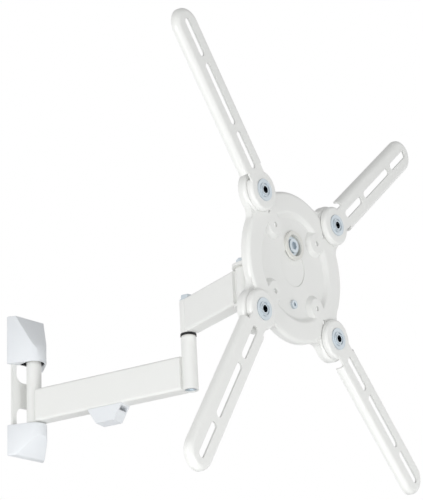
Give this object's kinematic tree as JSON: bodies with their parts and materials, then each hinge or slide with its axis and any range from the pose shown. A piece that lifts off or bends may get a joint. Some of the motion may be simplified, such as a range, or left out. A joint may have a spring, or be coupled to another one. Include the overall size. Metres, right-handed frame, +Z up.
{
  "type": "articulated wall mount for a screen",
  "caption": "Cantilever wall mount with a capped bracket, two square tube arms, a swivel and tilt head, and a round pressed plate carrying slotted arms.",
  "frame": {"origin": "on the wall face of the wall plate, at its centre", "axes": "+Y into the wall, +Z up, -Y out to the screen, +X to the right seen from the screen"},
  "size_m": [0.438, 0.4435, 0.4792],
  "materials": {
    "painted_steel": "gloss powder coat",
    "white_plastic": "satin moulding",
    "zinc_steel": "zinc plate",
    "nylon": "matte",
    "black_rubber": "matte"
  },
  "bodies": {
    "wall": {"wall_bracket": "painted_steel", "upper_cap": "white_plastic", "lower_cap": "white_plastic", "wall_pivot_bolt": "zinc_steel", "wall_pivot_nut": "zinc_steel", "wall_pivot_washers": "zinc_steel"},
    "lower_arm": {"lower_arm": "painted_steel", "wall_bushes": "nylon", "elbow_bushes": "nylon", "elbow_ring": "black_rubber", "cable_clip": "white_plastic"},
    "upper_arm": {"upper_arm": "painted_steel", "elbow_bolt": "zinc_steel", "elbow_washer": "zinc_steel", "elbow_nut": "zinc_steel", "head_bushes": "nylon"},
    "swivel_head": {"swivel_yoke": "painted_steel", "head_bolt": "zinc_steel", "head_nut": "zinc_steel", "head_washers": "zinc_steel", "tilt_spacer": "zinc_steel"},
    "tilt_head": {"tilt_bracket": "painted_steel", "tilt_bolt": "zinc_steel", "tilt_nut": "zinc_steel", "tilt_discs": "zinc_steel", "level_bolt": "zinc_steel", "level_nut": "zinc_steel", "level_disc": "nylon"},
    "plate": {"vesa_plate": "painted_steel", "level_cup": "nylon", "lock_screw": "zinc_steel", "lock_nut": "zinc_steel", "arm_pivot_screws": "zinc_steel", "arm_pivot_nuts": "zinc_steel", "arm_pivot_spacers": "nylon"},
    "adapter_ul": {"adapter_arm_ul": "painted_steel"},
    "adapter_ur": {"adapter_arm_ur": "painted_steel"},
    "adapter_ll": {"adapter_arm_ll": "painted_steel"},
    "adapter_lr": {"adapter_arm_lr": "painted_steel"}
  },
  "joints": [
    {"name": "wall_swivel", "type": "hinge", "parent": "wall", "child": "lower_arm", "pos_m": [0, -0.0176, 0], "axis": [0, 0, 1], "range_deg": [-106.1, 73.9]},
    {"name": "elbow_swivel", "type": "hinge", "parent": "lower_arm", "child": "upper_arm", "pos_m": [0.05879, -0.22129, 0], "axis": [0, 0, 1], "range_deg": [-78.6, 131.4]},
    {"name": "head_swivel", "type": "hinge", "parent": "upper_arm", "child": "swivel_head", "pos_m": [0.03912, -0.32951, 0], "axis": [0, 0, -1], "range_deg": [-59.7, 90.3]},
    {"name": "head_tilt", "type": "hinge", "parent": "swivel_head", "child": "tilt_head", "pos_m": [0.04209, -0.36338, 0.04], "axis": [0.9962, 0.0872, 0], "range_deg": [-8.6, 7.4]},
    {"name": "level_turn", "type": "hinge", "parent": "tilt_head", "child": "plate", "pos_m": [0.0456, -0.40351, 0.06686], "axis": [0.0869, -0.993, -0.0802], "range_deg": [-3, 3]},
    {"name": "arm_turn_ul", "type": "hinge", "parent": "plate", "child": "adapter_ul", "pos_m": [-0.02011, -0.41258, 0.10797], "axis": [0.0869, -0.993, -0.0802], "range_deg": [-41.8, 48.2]},
    {"name": "arm_turn_ur", "type": "hinge", "parent": "plate", "child": "adapter_ur", "pos_m": [0.11188, -0.40103, 0.10797], "axis": [0.0869, -0.993, -0.0802], "range_deg": [-43.7, 46.3]},
    {"name": "arm_turn_ll", "type": "hinge", "parent": "plate", "child": "adapter_ll", "pos_m": [-0.02104, -0.402, -0.0241], "axis": [0.0869, -0.993, -0.0802], "range_deg": [-60.4, 29.6]},
    {"name": "arm_turn_lr", "type": "hinge", "parent": "plate", "child": "adapter_lr", "pos_m": [0.11096, -0.39045, -0.0241], "axis": [0.0869, -0.993, -0.0802], "range_deg": [-48.5, 41.5]}
  ]
}
